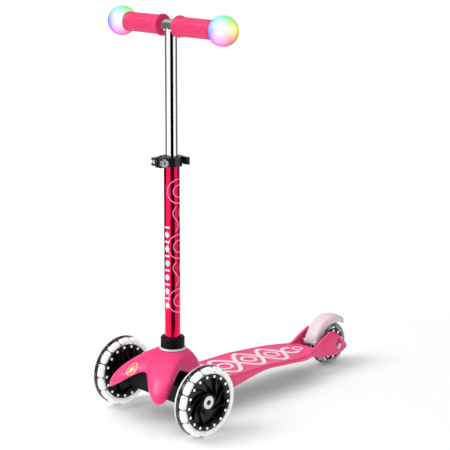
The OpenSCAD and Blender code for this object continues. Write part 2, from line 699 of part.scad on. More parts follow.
// The pad lies against the roof of the fender and clears the tyre until the fender is pressed
module brake_pad() {
    color("#26262a") at_front() intersection() {
        translate([-pad_half, 398, 70]) cube([2 * pad_half, 26, 30]);
        at_rear_hub() translate([-pad_half, 0, 0]) along_x() difference() {
            cylinder(r = brake_hollow_r, h = 2 * pad_half, $fn = 96);
            translate([0, 0, -1]) cylinder(r = rear_r + pad_lift, h = 2 * pad_half + 2, $fn = 96);
        }
    }
}
module brake_pin() {
    pin_half = plate_outer_x - 3;
    color("#9a9da2") at_front() translate([-pin_half, brake_back, brake_h]) along_x()
        cylinder(r = brake_pin_r, h = 2 * pin_half);
}
module brake_spring() {
    color("#c9ccd0") at_front() translate([-5.4, brake_back, brake_h]) along_x()
        coil_spring(3.4, 0.7, 10.8, 5);
}

deck();
axle_carrier();
carrier_screws();
lean_bolt();
lean_nut();
king_pins();
lean_spring(1);  // lean_spring_left
lean_spring(-1);  // lean_spring_right
brake_pin();
brake_spring();
rear_axle();
rear_axle_nut();
rear_spacers();
head_cover();
head_core();
dust_ring();
stem_collar();
lower_tube();
foot_plug();
tube_bushing();
clamp_body();
clamp_bolt();
clamp_nut();
lever_pin();
release_button();
clamp_lever();
upper_tube();
crossbar();
grip();  // grip_left
side_of(-1) grip();  // grip_right
light_base();  // light_base_left
side_of(-1) light_base();  // light_base_right
light_module();  // light_module_left
side_of(-1) light_module();  // light_module_right
light_lens();  // light_lens_left
side_of(-1) light_lens();  // light_lens_right
knuckle();  // knuckle_left
side_of(-1) knuckle();  // knuckle_right
front_axle();  // front_axle_left
side_of(-1) front_axle();  // front_axle_right
tie_rod();
front_core(1);  // front_core_left
front_core(-1);  // front_core_right
front_tyre(1);  // front_tyre_left
front_tyre(-1);  // front_tyre_right
front_bearings(1);  // front_bearings_left
front_bearings(-1);  // front_bearings_right
front_light_ring(1);  // front_light_ring_left
front_light_ring(-1);  // front_light_ring_right
rear_core();
rear_tyre();
rear_bearings();
rear_light_ring();
brake_fender();
brake_pad();
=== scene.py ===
"""Looks of the kick scooter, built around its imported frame. Metres, +Z up; the scooter faces -Y."""
import json
import math

import bmesh
import bpy
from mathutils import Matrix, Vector
from mathutils.bvhtree import BVHTree


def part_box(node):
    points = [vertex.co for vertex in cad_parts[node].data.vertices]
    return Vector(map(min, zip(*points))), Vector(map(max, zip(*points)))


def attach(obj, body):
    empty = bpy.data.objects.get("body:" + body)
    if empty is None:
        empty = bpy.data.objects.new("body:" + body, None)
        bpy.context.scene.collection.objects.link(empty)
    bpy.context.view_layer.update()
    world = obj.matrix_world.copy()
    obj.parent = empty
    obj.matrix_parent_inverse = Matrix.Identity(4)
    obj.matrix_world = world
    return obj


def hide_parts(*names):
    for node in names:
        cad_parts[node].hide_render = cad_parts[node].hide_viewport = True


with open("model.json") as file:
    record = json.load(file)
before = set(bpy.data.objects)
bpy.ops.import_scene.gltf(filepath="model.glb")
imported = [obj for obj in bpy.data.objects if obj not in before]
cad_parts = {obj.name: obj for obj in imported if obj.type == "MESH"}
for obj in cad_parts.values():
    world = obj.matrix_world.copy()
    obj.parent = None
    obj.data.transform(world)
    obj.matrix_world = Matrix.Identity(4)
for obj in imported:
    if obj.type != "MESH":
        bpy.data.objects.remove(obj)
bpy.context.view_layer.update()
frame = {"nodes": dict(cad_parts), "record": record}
MM = 0.001


def middle(node):
    low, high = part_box(node)
    return (low + high) / 2


def size(node):
    low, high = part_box(node)
    return high - low


# Places that everything is worked out from, and how much wider in radius the lower tube is than
# its foot plug
TUBE_OVER_PLUG = 1.7 * MM
front_y = middle("front_tyre_left").y
stem_y = middle("crossbar").y
bar_h = middle("crossbar").z
stem_r = size("foot_plug").x / 2 + TUBE_OVER_PLUG


def from_front(side, back, height):
    """A point given in millimetres from the ground under the front axle's middle."""
    return Vector((side * MM, front_y + back * MM, height * MM))


# ---- Materials ----------------------------------------------------------
def add_node(tree, kind, inputs=None, **settings):
    """A shader node whose inputs are values or the sockets that feed them."""
    made = tree.nodes.new(kind)
    for key, value in settings.items():
        setattr(made, key, value)
    for key, value in (inputs or {}).items():
        if isinstance(value, bpy.types.NodeSocket):
            tree.links.new(value, made.inputs[key])
        else:
            made.inputs[key].default_value = value
    return made


def noise(tree, where, scale, detail=3.0, roughness=0.5):
    made = add_node(tree, "ShaderNodeTexNoise", {"Vector": where, "Scale": scale,
                    "Detail": detail, "Roughness": roughness})
    return made.outputs["Fac"]


def spread(tree, value, low, high, floor=0.3, ceiling=0.7):
    """A value that runs from floor to ceiling, stretched to run from low to high."""
    made = add_node(tree, "ShaderNodeMapRange", {"Value": value, "From Min": floor,
                    "From Max": ceiling, "To Min": low, "To Max": high})
    return made.outputs["Result"]


def blend_colours(tree, factor, a, b):
    made = add_node(tree, "ShaderNodeMix", {"Factor": factor}, data_type="RGBA")
    for socket, value in ((made.inputs[6], a), (made.inputs[7], b)):
        if isinstance(value, bpy.types.NodeSocket):
            tree.links.new(value, socket)
        else:
            socket.default_value = value
    return made.outputs[2]


def tint(colour, factor):
    """A lighter or darker colour, with its alpha."""
    return tuple(min(1.0, max(0.0, c * factor)) for c in colour) + (1.0,)


def srgb(code):
    """Linear colour of a six-figure hex code."""
    parts = [int(code[i:i + 2], 16) / 255 for i in (0, 2, 4)]
    return tuple(c / 12.92 if c <= 0.04045 else ((c + 0.055) / 1.055) ** 2.4 for c in parts)


def finish(name, colour, rough, grain=(900.0, 0.02), variation=0.06, scuff=0.04, fixed=None,
           cast=None):
    """A moulded, painted or metal finish: mottled colour, uneven gloss, fine grain and light wear.
    grain is the number of bumps per metre and their height in millimetres; cast is the grey that
    the finish shows to bounced light, so that a strong colour does not stain the floor."""
    material = bpy.data.materials.new(name)
    material.use_nodes = True
    tree = material.node_tree
    shader = tree.nodes["Principled BSDF"]
    where = add_node(tree, "ShaderNodeTexCoord").outputs["Object"]
    mottle = noise(tree, where, 22.0, 4.0)
    base = blend_colours(tree, spread(tree, mottle, 0.0, 1.0), tint(colour, 1 - variation),
                         tint(colour, 1 + variation))
    worn = spread(tree, noise(tree, where, 160.0, 8.0, 0.7), 0.0, 1.0, 0.62, 0.74)
    base = blend_colours(tree, add_node(tree, "ShaderNodeMath", {0: worn, 1: scuff},
                         operation="MULTIPLY").outputs[0], base, tint(colour, 1.6))
    if cast is not None:
        bounced = add_node(tree, "ShaderNodeLightPath").outputs["Is Diffuse Ray"]
        base = blend_colours(tree, bounced, base, (cast, cast, cast, 1.0))
    tree.links.new(base, shader.inputs["Base Color"])
    uneven = spread(tree, noise(tree, where, 75.0, 6.0, 0.6), rough * 0.82, rough * 1.22)
    worn_rough = add_node(tree, "ShaderNodeMath", {0: worn, 1: scuff * 2.0, 2: uneven},
                          operation="MULTIPLY_ADD").outputs[0]
    tree.links.new(worn_rough, shader.inputs["Roughness"])
    fine = noise(tree, where, grain[0], 3.0, 0.6)
    bump = add_node(tree, "ShaderNodeBump", {"Height": fine, "Strength": 0.6,
                    "Distance": grain[1] * MM})
    tree.links.new(bump.outputs["Normal"], shader.inputs["Normal"])
    for key, value in (fixed or {}).items():
        shader.inputs[key].default_value = value
    return material


def rainbow(name, centre, heading):
    """A shell lit from inside, white where it faces the heading and every hue round that spot."""
    material = finish(name, (0.9, 0.9, 0.92), 0.22, (500.0, 0.01), 0.01, 0.0,
                      {"Coat Weight": 0.2, "Coat Roughness": 0.1, "Emission Strength": 0.92})
    tree = material.node_tree
    shader = tree.nodes["Principled BSDF"]
    where = add_node(tree, "ShaderNodeTexCoord").outputs["Object"]
    offset = add_node(tree, "ShaderNodeVectorMath", {0: where, 1: centre},
                      operation="SUBTRACT").outputs[0]
    out = add_node(tree, "ShaderNodeVectorMath", {0: offset}, operation="NORMALIZE").outputs[0]
    right = Vector((0, 0, 1)).cross(heading).normalized()
    up = heading.cross(right).normalized()
    # The white spot sits a little to the left of the heading and below it
    spot = (heading - 0.12 * right - 0.08 * up).normalized()
    across, high = [add_node(tree, "ShaderNodeVectorMath", {0: out, 1: way},
                             operation="DOT_PRODUCT").outputs["Value"] for way in (right, up)]
    angle = add_node(tree, "ShaderNodeMath", {0: high, 1: across}, operation="ARCTAN2").outputs[0]
    ripple = noise(tree, where, 40.0, 2.0)
    turn = add_node(tree, "ShaderNodeMath", {0: angle, 1: 1 / math.tau, 2: 1.13},
                    operation="MULTIPLY_ADD").outputs[0]
    hue = add_node(tree, "ShaderNodeMath", {0: ripple, 1: 0.06, 2: turn},
                   operation="MULTIPLY_ADD").outputs[0]
    hue = add_node(tree, "ShaderNodeMath", {0: hue}, operation="FRACT").outputs[0]
    facing = add_node(tree, "ShaderNodeVectorMath", {0: out, 1: spot},
                      operation="DOT_PRODUCT").outputs["Value"]
    depth = spread(tree, facing, 0.95, 0.0, 0.25, 0.985)
    depth = add_node(tree, "ShaderNodeMath", {0: depth, 1: 0.62}, operation="POWER").outputs[0]
    value = spread(tree, facing, 0.45, 1.0, 0.08, 0.45)
    colour = add_node(tree, "ShaderNodeCombineColor", {"Red": hue, "Green": depth, "Blue": value},
                      mode="HSV").outputs[0]
    tree.links.new(colour, shader.inputs["Emission Color"])
    tree.links.new(blend_colours(tree, 0.12, (0.0, 0.0, 0.0, 1.0), colour),
                   shader.inputs["Base Color"])
    return material


PINK = srgb("F93A80")
mats = {
    "pink_plastic": finish("pink_plastic", PINK, 0.36, (1400.0, 0.012), 0.03, 0.03,
                           {"Subsurface Weight": 0.12, "Subsurface Radius": (0.004, 0.001, 0.001),
                            "Coat Weight": 0.15, "Coat Roughness": 0.25}, cast=0.12),
    "black_plastic": finish("black_plastic", (0.004, 0.004, 0.005), 0.42, (2200.0, 0.02), 0.2, 0.1,
                            {"Specular IOR Level": 0.13}),
    "black_metal": finish("black_metal", (0.007, 0.007, 0.008), 0.3, (1500.0, 0.01), 0.2, 0.15,
                          {"Coat Weight": 0.2, "Coat Roughness": 0.15}),
    "steel": finish("steel", (0.52, 0.53, 0.56), 0.32, (1800.0, 0.01), 0.1, 0.2, {"Metallic": 1.0}),
    "chrome": finish("chrome", (0.86, 0.87, 0.89), 0.06, (220.0, 0.002), 0.02, 0.05,
                     {"Metallic": 1.0}),
    "crimson_metal": finish("crimson_metal", srgb("E8004C"), 0.17, (1500.0, 0.001), 0.02, 0.02,
                            {"Metallic": 0.94, "Coat Weight": 0.2, "Coat Roughness": 0.05}, cast=0.1),
    "grip_rubber": finish("grip_rubber", srgb("DC2A66"), 0.45, (1700.0, 0.03), 0.05, 0.03,
                          {"Sheen Weight": 0.05, "Sheen Roughness": 0.4,
                           "Specular IOR Level": 0.35}),
    "white_plastic": finish("white_plastic", (0.82, 0.80, 0.83), 0.35),
    "light_module": finish("light_module", (0.8, 0.8, 0.82), 0.4),
    # Painted glow: the white bars in the front tyres are no lamps, and this emission lights them as if
    # lit from inside.
    "tyre_white": finish("tyre_white", (0.95, 0.95, 0.96), 0.3, (700.0, 0.01), 0.02, 0.0,
                         {"Emission Color": (1, 1, 1, 1), "Emission Strength": 0.4}),
    "clear_tyre": finish("clear_tyre", (0.96, 0.98, 0.98), 0.02, (200.0, 0.002), 0.01, 0.0,
                         {"Transmission Weight": 1.0, "IOR": 1.44}),
    "wheel_core": finish("wheel_core", (0.005, 0.005, 0.006), 0.22, (900.0, 0.01), 0.2, 0.1,
                         {"Specular IOR Level": 0.3}),
    "bearing_steel": finish("bearing_steel", (0.93, 0.93, 0.94), 0.3, (1200.0, 0.008), 0.03, 0.05),
    "lamp_white": finish("lamp_white", (0.95, 0.95, 0.96), 0.25, (700.0, 0.01), 0.02, 0.0,
                         {"Emission Color": (1, 1, 1, 1), "Emission Strength": 0.3}),
    "brake_plastic": finish("brake_plastic", srgb("F2DCE4"), 0.3, (1000.0, 0.012), 0.03, 0.03,
                            {"Subsurface Weight": 0.4, "Subsurface Radius": (0.006, 0.003, 0.004),
                             "Alpha": 0.93}),
    "brake_lining": finish("brake_lining", (0.03, 0.03, 0.033), 0.8, (900.0, 0.1), 0.2, 0.2),
    "spring_steel": finish("spring_steel", (0.6, 0.61, 0.64), 0.24, fixed={"Metallic": 1.0}),
    "print_white": finish("print_white", srgb("FFEAF2"), 0.42, (1200.0, 0.01), 0.02, 0.02),
    "print_rose": finish("print_rose", srgb("FF8DB8"), 0.42, (1200.0, 0.01), 0.03, 0.02),
    "print_blue": finish("print_blue", srgb("BFE4F5"), 0.42, (1200.0, 0.01), 0.02, 0.02),
    "print_gold": finish("print_gold", srgb("E8B04A"), 0.35, (1200.0, 0.01), 0.06, 0.05,
                         {"Metallic": 0.4}),
}
slot_of = {row["node"]: row["material_slot"] for row in frame["record"]["subparts"]}
body_of = {node: body for body, nodes in frame["record"]["behaviour"]["bodies"].items()
           for node in nodes}


# ---- Mesh tools ---------------------------------------------------------
def add_piece(name, points, faces, material, body, stands_for=(), slot=None, sharp=38.0,
              bevel=0.0):
    """A new piece from points and faces, whose sides all end up facing outwards."""
    mesh = bpy.data.meshes.new(name)
    mesh.from_pydata([tuple(p) for p in points], [], faces)
    work = bmesh.new()
    work.from_mesh(mesh)
    bmesh.ops.recalc_face_normals(work, faces=work.faces)
    work.to_mesh(mesh)
    work.free()
    place(bpy.data.objects.new(name, mesh), material, body, stands_for, slot, sharp, bevel)


def place(piece, material, body, stands_for=(), slot=None, sharp=38.0, bevel=0.0, levels=0):
    """Gives a piece its finish and body; slot is not used. Edges above sharp degrees stay crisp; bevel
    rounds them by so many millimetres, and levels are rounds of subdivision."""
    bpy.context.scene.collection.objects.link(piece)
    mesh = piece.data
    mesh.materials.clear()
    mesh.materials.append(mats[material] if isinstance(material, str) else material)
    mesh.polygons.foreach_set("use_smooth", [True] * len(mesh.polygons))
    mesh.set_sharp_from_angle(angle=math.radians(sharp))
    if bevel:
        rounding = piece.modifiers.new("rounded edges", "BEVEL")
        rounding.width = bevel * MM
        rounding.segments = 3
        rounding.limit_method = "ANGLE"
        rounding.angle_limit = math.radians(34)
        rounding.harden_normals = True
    if levels:
        smoother = piece.modifiers.new("smooth", "SUBSURF")
        smoother.levels = levels
        smoother.render_levels = levels
    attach(piece, body)
    if stands_for:
        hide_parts(*stands_for)
    return piece


def closed_rings(count, sides, loop=False):
    """Faces of a tube of count rings with sides points each; its ends are closed unless it loops."""
    last = count if loop else count - 1
    faces = [(i * sides + j, i * sides + (j + 1) % sides,
              (i + 1) % count * sides + (j + 1) % sides, (i + 1) % count * sides + j)
             for i in range(last) for j in range(sides)]
    if not loop:
        faces.append(tuple(range(sides)))
        faces.append(tuple(range((count - 1) * sides, count * sides)))
    return faces


def fillet(points, radius, steps=4):
    """A closed outline with its corners rounded."""
    rounded = []
    count = len(points)
    for i, corner in enumerate(points):
        here = Vector(corner)
        before, after = Vector(points[i - 1]), Vector(points[(i + 1) % count])
        reach = min(radius, (before - here).length * 0.45, (after - here).length * 0.45)
        a = here + (before - here).normalized() * reach
        b = here + (after - here).normalized() * reach
        for k in range(steps + 1):
            t = k / steps
            rounded.append(tuple(a * (1 - t) ** 2 + here * 2 * t * (1 - t) + b * t * t))
    return rounded


def spline(knots, steps):
    """Points along a smooth curve through the knots, which are tuples of any length."""
    made = []
    for i in range(len(knots) - 1):
        a, b = knots[max(i - 1, 0)], knots[i]
        c, d = knots[i + 1], knots[min(i + 2, len(knots) - 1)]
        for k in range(steps):
            t = k / steps
            made.append(tuple(0.5 * (2 * q + (r - p) * t + (2 * p - 5 * q + 4 * r - s) * t * t
                        + (3 * q - p - 3 * r + s) * t ** 3) for p, q, r, s in zip(a, b, c, d)))
    made.append(tuple(knots[-1]))
    return made


def lathe(profile, centre, steps=96):
    """Points and faces of a closed outline of (radius, along), in millimetres, turned about X."""
    points = []
    for i in range(steps):
        a = math.tau * i / steps
        for radius, along in profile:
            turned = (along * MM, radius * math.cos(a) * MM, radius * math.sin(a) * MM)
            points.append(Vector(centre) + Vector(turned))
    return points, closed_rings(steps, len(profile), True)


def join_shapes(*shapes):
    points, faces = [], []
    for more_points, more_faces in shapes:
        offset = len(points)
        points += list(more_points)
        faces += [tuple(i + offset for i in f) for f in more_faces]
    return points, faces


def block(low, high):
    """A box between two opposite corners."""
    corners = [Vector((x, y, z)) for x in (low[0], high[0]) for y in (low[1], high[1])
               for z in (low[2], high[2])]
    return corners, [(0, 1, 3, 2), (4, 6, 7, 5), (0, 4, 5, 1), (2, 3, 7, 6), (0, 2, 6, 4),
                     (1, 5, 7, 3)]


def refined(node, bevel):
    """A CAD node's own shape with its edges rounded; bevel is in millimetres."""
    mesh = frame["nodes"][node].data.copy()
    mesh.name = node + "_shape"
    work = bmesh.new()
    work.from_mesh(mesh)
    bmesh.ops.remove_doubles(work, verts=work.verts, dist=1e-6)
    bmesh.ops.dissolve_limit(work, angle_limit=math.radians(1.0), verts=work.verts,
                             edges=work.edges)
    work.to_mesh(mesh)
    work.free()
    slot = slot_of[node]
    place(bpy.data.objects.new(node + "_piece", mesh), slot, body_of[node], (node,), slot, 34.0,
          bevel)


# How far raised printing reaches below the surface it lies on, in millimetres
SINK = -0.25


def ribbon(path, width, surface, lift=0.18, closed=True):
    """A raised printed line, width and lift in millimetres, along (u, v) points on a surface."""
    count = len(path)
    points = []
    for i, here in enumerate(path):
        before = path[i - 1] if closed or i else here
        after = path[(i + 1) % count] if closed or i < count - 1 else here
        way = (Vector(after) - Vector(before)).normalized()
        left = Vector((-way.y, way.x)) * width / 2
        for u, v, rise in ((here[0] - left.x, here[1] - left.y, SINK),
                           (here[0] - left.x, here[1] - left.y, lift),
                           (here[0] + left.x, here[1] + left.y, lift),
                           (here[0] + left.x, here[1] + left.y, SINK)):
            points.append(surface(u, v, rise))
    return points, closed_rings(count, 4, closed)


def patch(outline, surface, lift=0.18):
    """A raised printed shape: a fan of rings from its outline to its middle."""
    mid = sum((Vector(p) for p in outline), Vector((0, 0))) / len(outline)
    rings = [(1.0, SINK), (1.0, lift), (0.66, lift), (0.33, lift)]
    points = []
    for share, rise in rings:
        for p in outline:
            at = mid + (Vector(p) - mid) * share
            points.append(surface(at.x, at.y, rise))
    count = len(outline)
    faces = [(i * count + j, i * count + (j + 1) % count, (i + 1) * count + (j + 1) % count,
              (i + 1) * count + j) for i in range(3) for j in range(count)]
    points.append(surface(mid.x, mid.y, lift))
    faces += [(3 * count + j, 3 * count + (j + 1) % count, 4 * count) for j in range(count)]
    faces.append(tuple(range(count - 1, -1, -1)))
    return points, faces


def round_path(u, v, radius, steps=40, stretch=1.0):
    """A circle of points about (u, v), stretched along u."""
    return [(u + radius * stretch * math.cos(math.tau * k / steps),
             v + radius * math.sin(math.tau * k / steps)) for k in range(steps)]


# ---- Camera, floor and light --------------------------------------------
def aim(obj, target):
    """Turns a camera or a lamp to look at the target."""
    obj.rotation_euler = (Vector(target) - obj.location).to_track_quat("-Z", "Y").to_euler()


def heading(azimuth, elevation):
    """A direction in degrees: 0 is ahead of the scooter, 90 on its left."""
    a, e = math.radians(azimuth), math.radians(elevation)
    return Vector((math.sin(a) * math.cos(e), -math.cos(a) * math.cos(e), math.sin(e)))


CAMERA_WAY = heading(45.906, 13.853)
CAMERA_DISTANCE = 2.3534
CAMERA_ROLL = 0.25


def add_camera():
    camera = bpy.data.objects.new("camera", bpy.data.cameras.new("camera"))
    target = from_front(0, 150, 300)
    camera.location = target + CAMERA_WAY * CAMERA_DISTANCE
    camera.data.lens = 110.93
    camera.data.sensor_width = 36.0
    camera.data.shift_x = -0.0056
    camera.data.shift_y = 0.0114
    camera.data.clip_end = 60.0
    aim(camera, target)
    camera.rotation_euler.rotate_axis("Z", math.radians(CAMERA_ROLL))
    bpy.context.scene.collection.objects.link(camera)
    bpy.context.scene.camera = camera


def area_light(name, azimuth, elevation, distance, width, height, power):
    """A rectangular lamp of so many watts that looks at the scooter's lower half."""
    data = bpy.data.lights.new(name, "AREA")
    data.shape = "RECTANGLE"
    data.size = width
    data.size_y = height
    data.energy = power
    light = bpy.data.objects.new(name, data)
    target = Vector((0, 0, 0.25))
    light.location = target + heading(azimuth, elevation) * distance
    aim(light, target)
    bpy.context.scene.collection.objects.link(light)


# Upright curved cards that only reflections show: headings of both edges in degrees, distance
# from the column and brightness. The near one is black, the others are dark grey.
FLAGS = [(28, 85, 0.34, 0.0), (-130, -45, 0.8, 0.16), (136, 200, 0.8, 0.16)]
FLAG_FOOT, FLAG_TOP = -0.0003, 1.15
FLOOR_RADIUS, FLOOR_HEIGHT = 30, -0.0004


def add_flags():
    for k, (first, last, reach, grey) in enumerate(FLAGS):
        steps = 12
        points = []
        for i in range(steps + 1):
            a = math.radians(first + (last - first) * i / steps)
            for height in (FLAG_FOOT, FLAG_TOP):
                points.append((reach * math.sin(a), stem_y - reach * math.cos(a), height))
        faces = [(2 * i, 2 * i + 2, 2 * i + 3, 2 * i + 1) for i in range(steps)]
        mesh = bpy.data.meshes.new("flag_%d" % k)
        mesh.from_pydata(points, [], faces)
        mesh.materials.append(finish("flag_%d" % k, (0.0, 0.0, 0.0), 0.9, fixed={
            "Emission Color": (1, 1, 1, 1), "Emission Strength": grey, "Specular IOR Level": 0.0}))
        flag = bpy.data.objects.new("flag_%d" % k, mesh)
        bpy.context.scene.collection.objects.link(flag)
        for ray in ("camera", "diffuse", "transmission", "shadow", "volume_scatter"):
            setattr(flag, "visible_" + ray, False)


def add_stage():
    """The white studio: what the background lights and shows, the floor and two lamps."""
    world = bpy.data.worlds.new("studio")
    world.use_nodes = True
    tree = world.node_tree
    seen = blend_colours(tree, add_node(tree, "ShaderNodeLightPath").outputs["Is Camera Ray"],
                         (0.52, 0.52, 0.525, 1), (1.08, 1.08, 1.08, 1))
    tree.links.new(seen, tree.nodes["Background"].inputs["Color"])
    bpy.context.scene.world = world
    bpy.context.scene.view_settings.view_transform = "Standard"
    floor_material = finish("pale_floor", (0.93, 0.93, 0.935), 0.75, (60.0, 0.05), 0.005, 0.0,
                            {"Emission Color": (1, 1, 1, 1)})
    # The floor glows more with distance, where less of the lamps' light falls, and glows little near
    # the scooter, which keeps the shadows there dark as painted shade.
    tree = floor_material.node_tree
    where = add_node(tree, "ShaderNodeTexCoord").outputs["Object"]
    away = add_node(tree, "ShaderNodeVectorMath", {0: where}, operation="LENGTH").outputs["Value"]
    tree.links.new(spread(tree, away, 0.12, 0.62, 0.5, 3.0),
                   tree.nodes["Principled BSDF"].inputs["Emission Strength"])
    sides = 64
    outline = []
    for k in range(sides):
        a = math.tau * k / sides
        outline.append((FLOOR_RADIUS * math.cos(a), FLOOR_RADIUS * math.sin(a), FLOOR_HEIGHT))
    mesh = bpy.data.meshes.new("floor")
    mesh.from_pydata(outline, [], [tuple(range(sides))])
    mesh.materials.append(floor_material)
    floor = bpy.data.objects.new("floor", mesh)
    bpy.context.scene.collection.objects.link(floor)
    area_light("key", -30, 45, 3.0, 2.0, 2.0, 60)
    area_light("top", 0, 85, 3.0, 2.6, 2.6, 20)


add_camera()
add_stage()
add_flags()


# ---- Head cover ---------------------------------------------------------
def head_cover():
    """The CAD cover's own grid, welded back into four-sided faces and smoothed."""
    mesh = frame["nodes"]["head_cover"].data.copy()
    work = bmesh.new()
    work.from_mesh(mesh)
    bmesh.ops.remove_doubles(work, verts=work.verts, dist=1e-6)
    bmesh.ops.join_triangles(work, faces=work.faces, angle_face_threshold=math.radians(60),
                             angle_shape_threshold=math.radians(80))
    work.to_mesh(mesh)
    work.free()
    return place(bpy.data.objects.new("cover_shell", mesh), "pink_plastic", "head",
                 ("head_cover",), "pink_plastic", sharp=180.0, levels=2)


# ---- Deck ---------------------------------------------------------------
# Cross-sections of the deck in millimetres: distance behind the front axle, half width, height of
# the top, height of the lower edge
DECK = [(71, 33, 67.0, 50.0), (76, 38.5, 66.3, 47.0), (84, 43.5, 64.3, 43.5), (98, 47, 60.6, 40.0),
        (120, 48.3, 57.7, 38.0), (140, 48.5, 57.5, 40.5), (160, 48.5, 57.5, 44.5),
        (180, 48.5, 57.5, 47.5), (200, 48.5, 57.1, 49.5), (218, 48.5, 55.7, 49.0),
        (240, 48.5, 53.9, 47.0), (265, 48.5, 51.7, 45.0), (284, 48.3, 50.1, 43.2),
        (300, 46.5, 48.9, 41.0), (316, 42, 47.9, 39.0), (332, 35.5, 47.3, 37.5),
        (346, 31, 47.0, 36.3), (352, 30, 47.0, 36.0)]
DECK_ROWS = spline(DECK, 5)


def deck_top(back):
    """Height of the deck's top, in millimetres, at a distance behind the front axle."""
    for a, b in zip(DECK_ROWS, DECK_ROWS[1:]):
        if back <= b[0]:
            t = min(1.0, max(0.0, (back - a[0]) / (b[0] - a[0])))
            return a[2] * (1 - t) + b[2] * t
    return DECK[-1][2]


def on_deck(side, back, rise):
    """Printing surface on the deck's top."""
    return from_front(side, back, deck_top(back) + rise)


def deck():
    """A thin board with a raised lip all round, turned-down edges and ribs underneath."""
    skin, lip = 4.5, 0.9
    rings = []
    for back, half, top, foot in DECK_ROWS:
        under = max(foot + 1.0, top - skin)
        side = [(0, top), (half * 0.5, top), (half - 5.2, top), (half - 4.0, top + lip * 0.6),
                (half - 2.8, top + lip), (half - 1.5, top + lip * 0.8), (half - 0.5, top - 0.3),
                (half, top - 1.9), (half - 0.2, (top + foot) / 2), (half - 0.7, foot + 1.4),
                (half - 1.6, foot + 0.2), (half - 2.6, foot), (half - 3.9, foot + 0.5),
                (half - 4.4, (foot + under) / 2), (half - 5.4, under), (half * 0.5, under), (0, under)]
        outline = side + [(-x, z) for x, z in side[-2:0:-1]]
        rings.append([from_front(x, back, z) for x, z in outline])
    board = ([p for ring in rings for p in ring], closed_rings(len(rings), len(rings[0])))
    ribs = []
    rib_t, rib_deep, first, last = 2.4, 4, 126, 326
    for x in (-24, 0, 24):
        for back in range(first, last, 20):
            crest = deck_top(back + 20) - 3.4
            ribs.append(block(from_front(x - rib_t / 2, back, crest - rib_deep),
                              from_front(x + rib_t / 2, back + 20, crest)))
    reach = 40
    for back in range(first, last - 36, 40):
        crest = deck_top(back + rib_t) - 3.5
        ribs.append(block(from_front(-reach, back, crest - rib_deep),
                          from_front(reach, back + rib_t, crest)))
    # Cross wall between the plates that hold the rear axle
    ribs.append(block(from_front(-25, 344, 37), from_front(25, 351, 46)))
    add_piece("deck_board", *join_shapes(board, *ribs), "pink_plastic", "base", ("deck",),
              "pink_plastic", 45.0)


# Outline of the plates that hold the rear axle, in millimetres: distance behind the front axle,
# height
REAR_PLATE = [(334, 47.3), (347, 51), (358, 58), (376, 67), (386, 71), (395, 71), (403, 67.5),
              (413, 59), (426, 46.5), (433, 38.5), (431.5, 33.5), (420, 27.5), (406, 25),
              (385, 26), (353, 31), (334, 37)]


def rear_plates():
    """Plates with soft edges and a long pocket in the outside for the axle's end."""
    outline = fillet(REAR_PLATE, 9.0, 6)
    axle = Vector((middle("rear_axle").y - front_y, middle("rear_axle").z)) / MM
    ends = [axle, axle + Vector((-6, 9))]
    pocket_r = 6.0
    along = (ends[1] - ends[0]).normalized()
    across = Vector((-along.y, along.x))
    pocket = []
    for end, way in ((ends[1], 1), (ends[0], -1)):
        for k in range(13):
            a = math.pi * k / 12
            pocket.append(end + pocket_r * way * (across * math.cos(a) + along * math.sin(a)))
    pocket.reverse()
    for name, side in (("rear_plate_left", 1), ("rear_plate_right", -1)):
        work = bmesh.new()
        rims = []
        # How far each ring stands from the middle of the deck, and how far it draws in
        rounds = [(24.2, 1.2), (24.5, 0.5), (25.2, 0.0), (28.6, 0.0), (29.6, 0.6), (30.1, 1.7)]
        centre = sum((Vector(p) for p in outline), Vector((0, 0))) / len(outline)
        for x, shrink in rounds:
            ring = []
            for p in outline:
                inward = (centre - Vector(p)).normalized() * shrink
                ring.append(work.verts.new(from_front(side * x, p[0] + inward.x, p[1] + inward.y)))
            rims.append(ring)
        mouth = [[work.verts.new(from_front(side * x, *(ends[0] + (p - ends[0]) * grow)))
                  for p in pocket] for x, grow in ((30.1, 1.05), (29.6, 1.0), (27.0, 0.98))]
        count = len(outline)
        for a, b in zip(rims, rims[1:]):
            for i in range(count):
                work.faces.new((a[i], a[(i + 1) % count], b[(i + 1) % count], b[i]))
        for a, b in zip(mouth, mouth[1:]):
            for i in range(len(pocket)):
                work.faces.new((a[i], a[(i + 1) % len(pocket)], b[(i + 1) % len(pocket)], b[i]))
        work.faces.new(rims[0])
        work.faces.new(mouth[-1])
        edges = [work.edges.get((ring[i], ring[(i + 1) % len(ring)]))
                 for ring in (rims[-1], mouth[0]) for i in range(len(ring))]
        bmesh.ops.triangle_fill(work, edges=edges, use_beauty=True, use_dissolve=False)
        bmesh.ops.recalc_face_normals(work, faces=work.faces)
        mesh = bpy.data.meshes.new(name)
        work.to_mesh(mesh)
        work.free()
        place(bpy.data.objects.new(name, mesh), "pink_plastic", "base", (), "pink_plastic", 30.0)


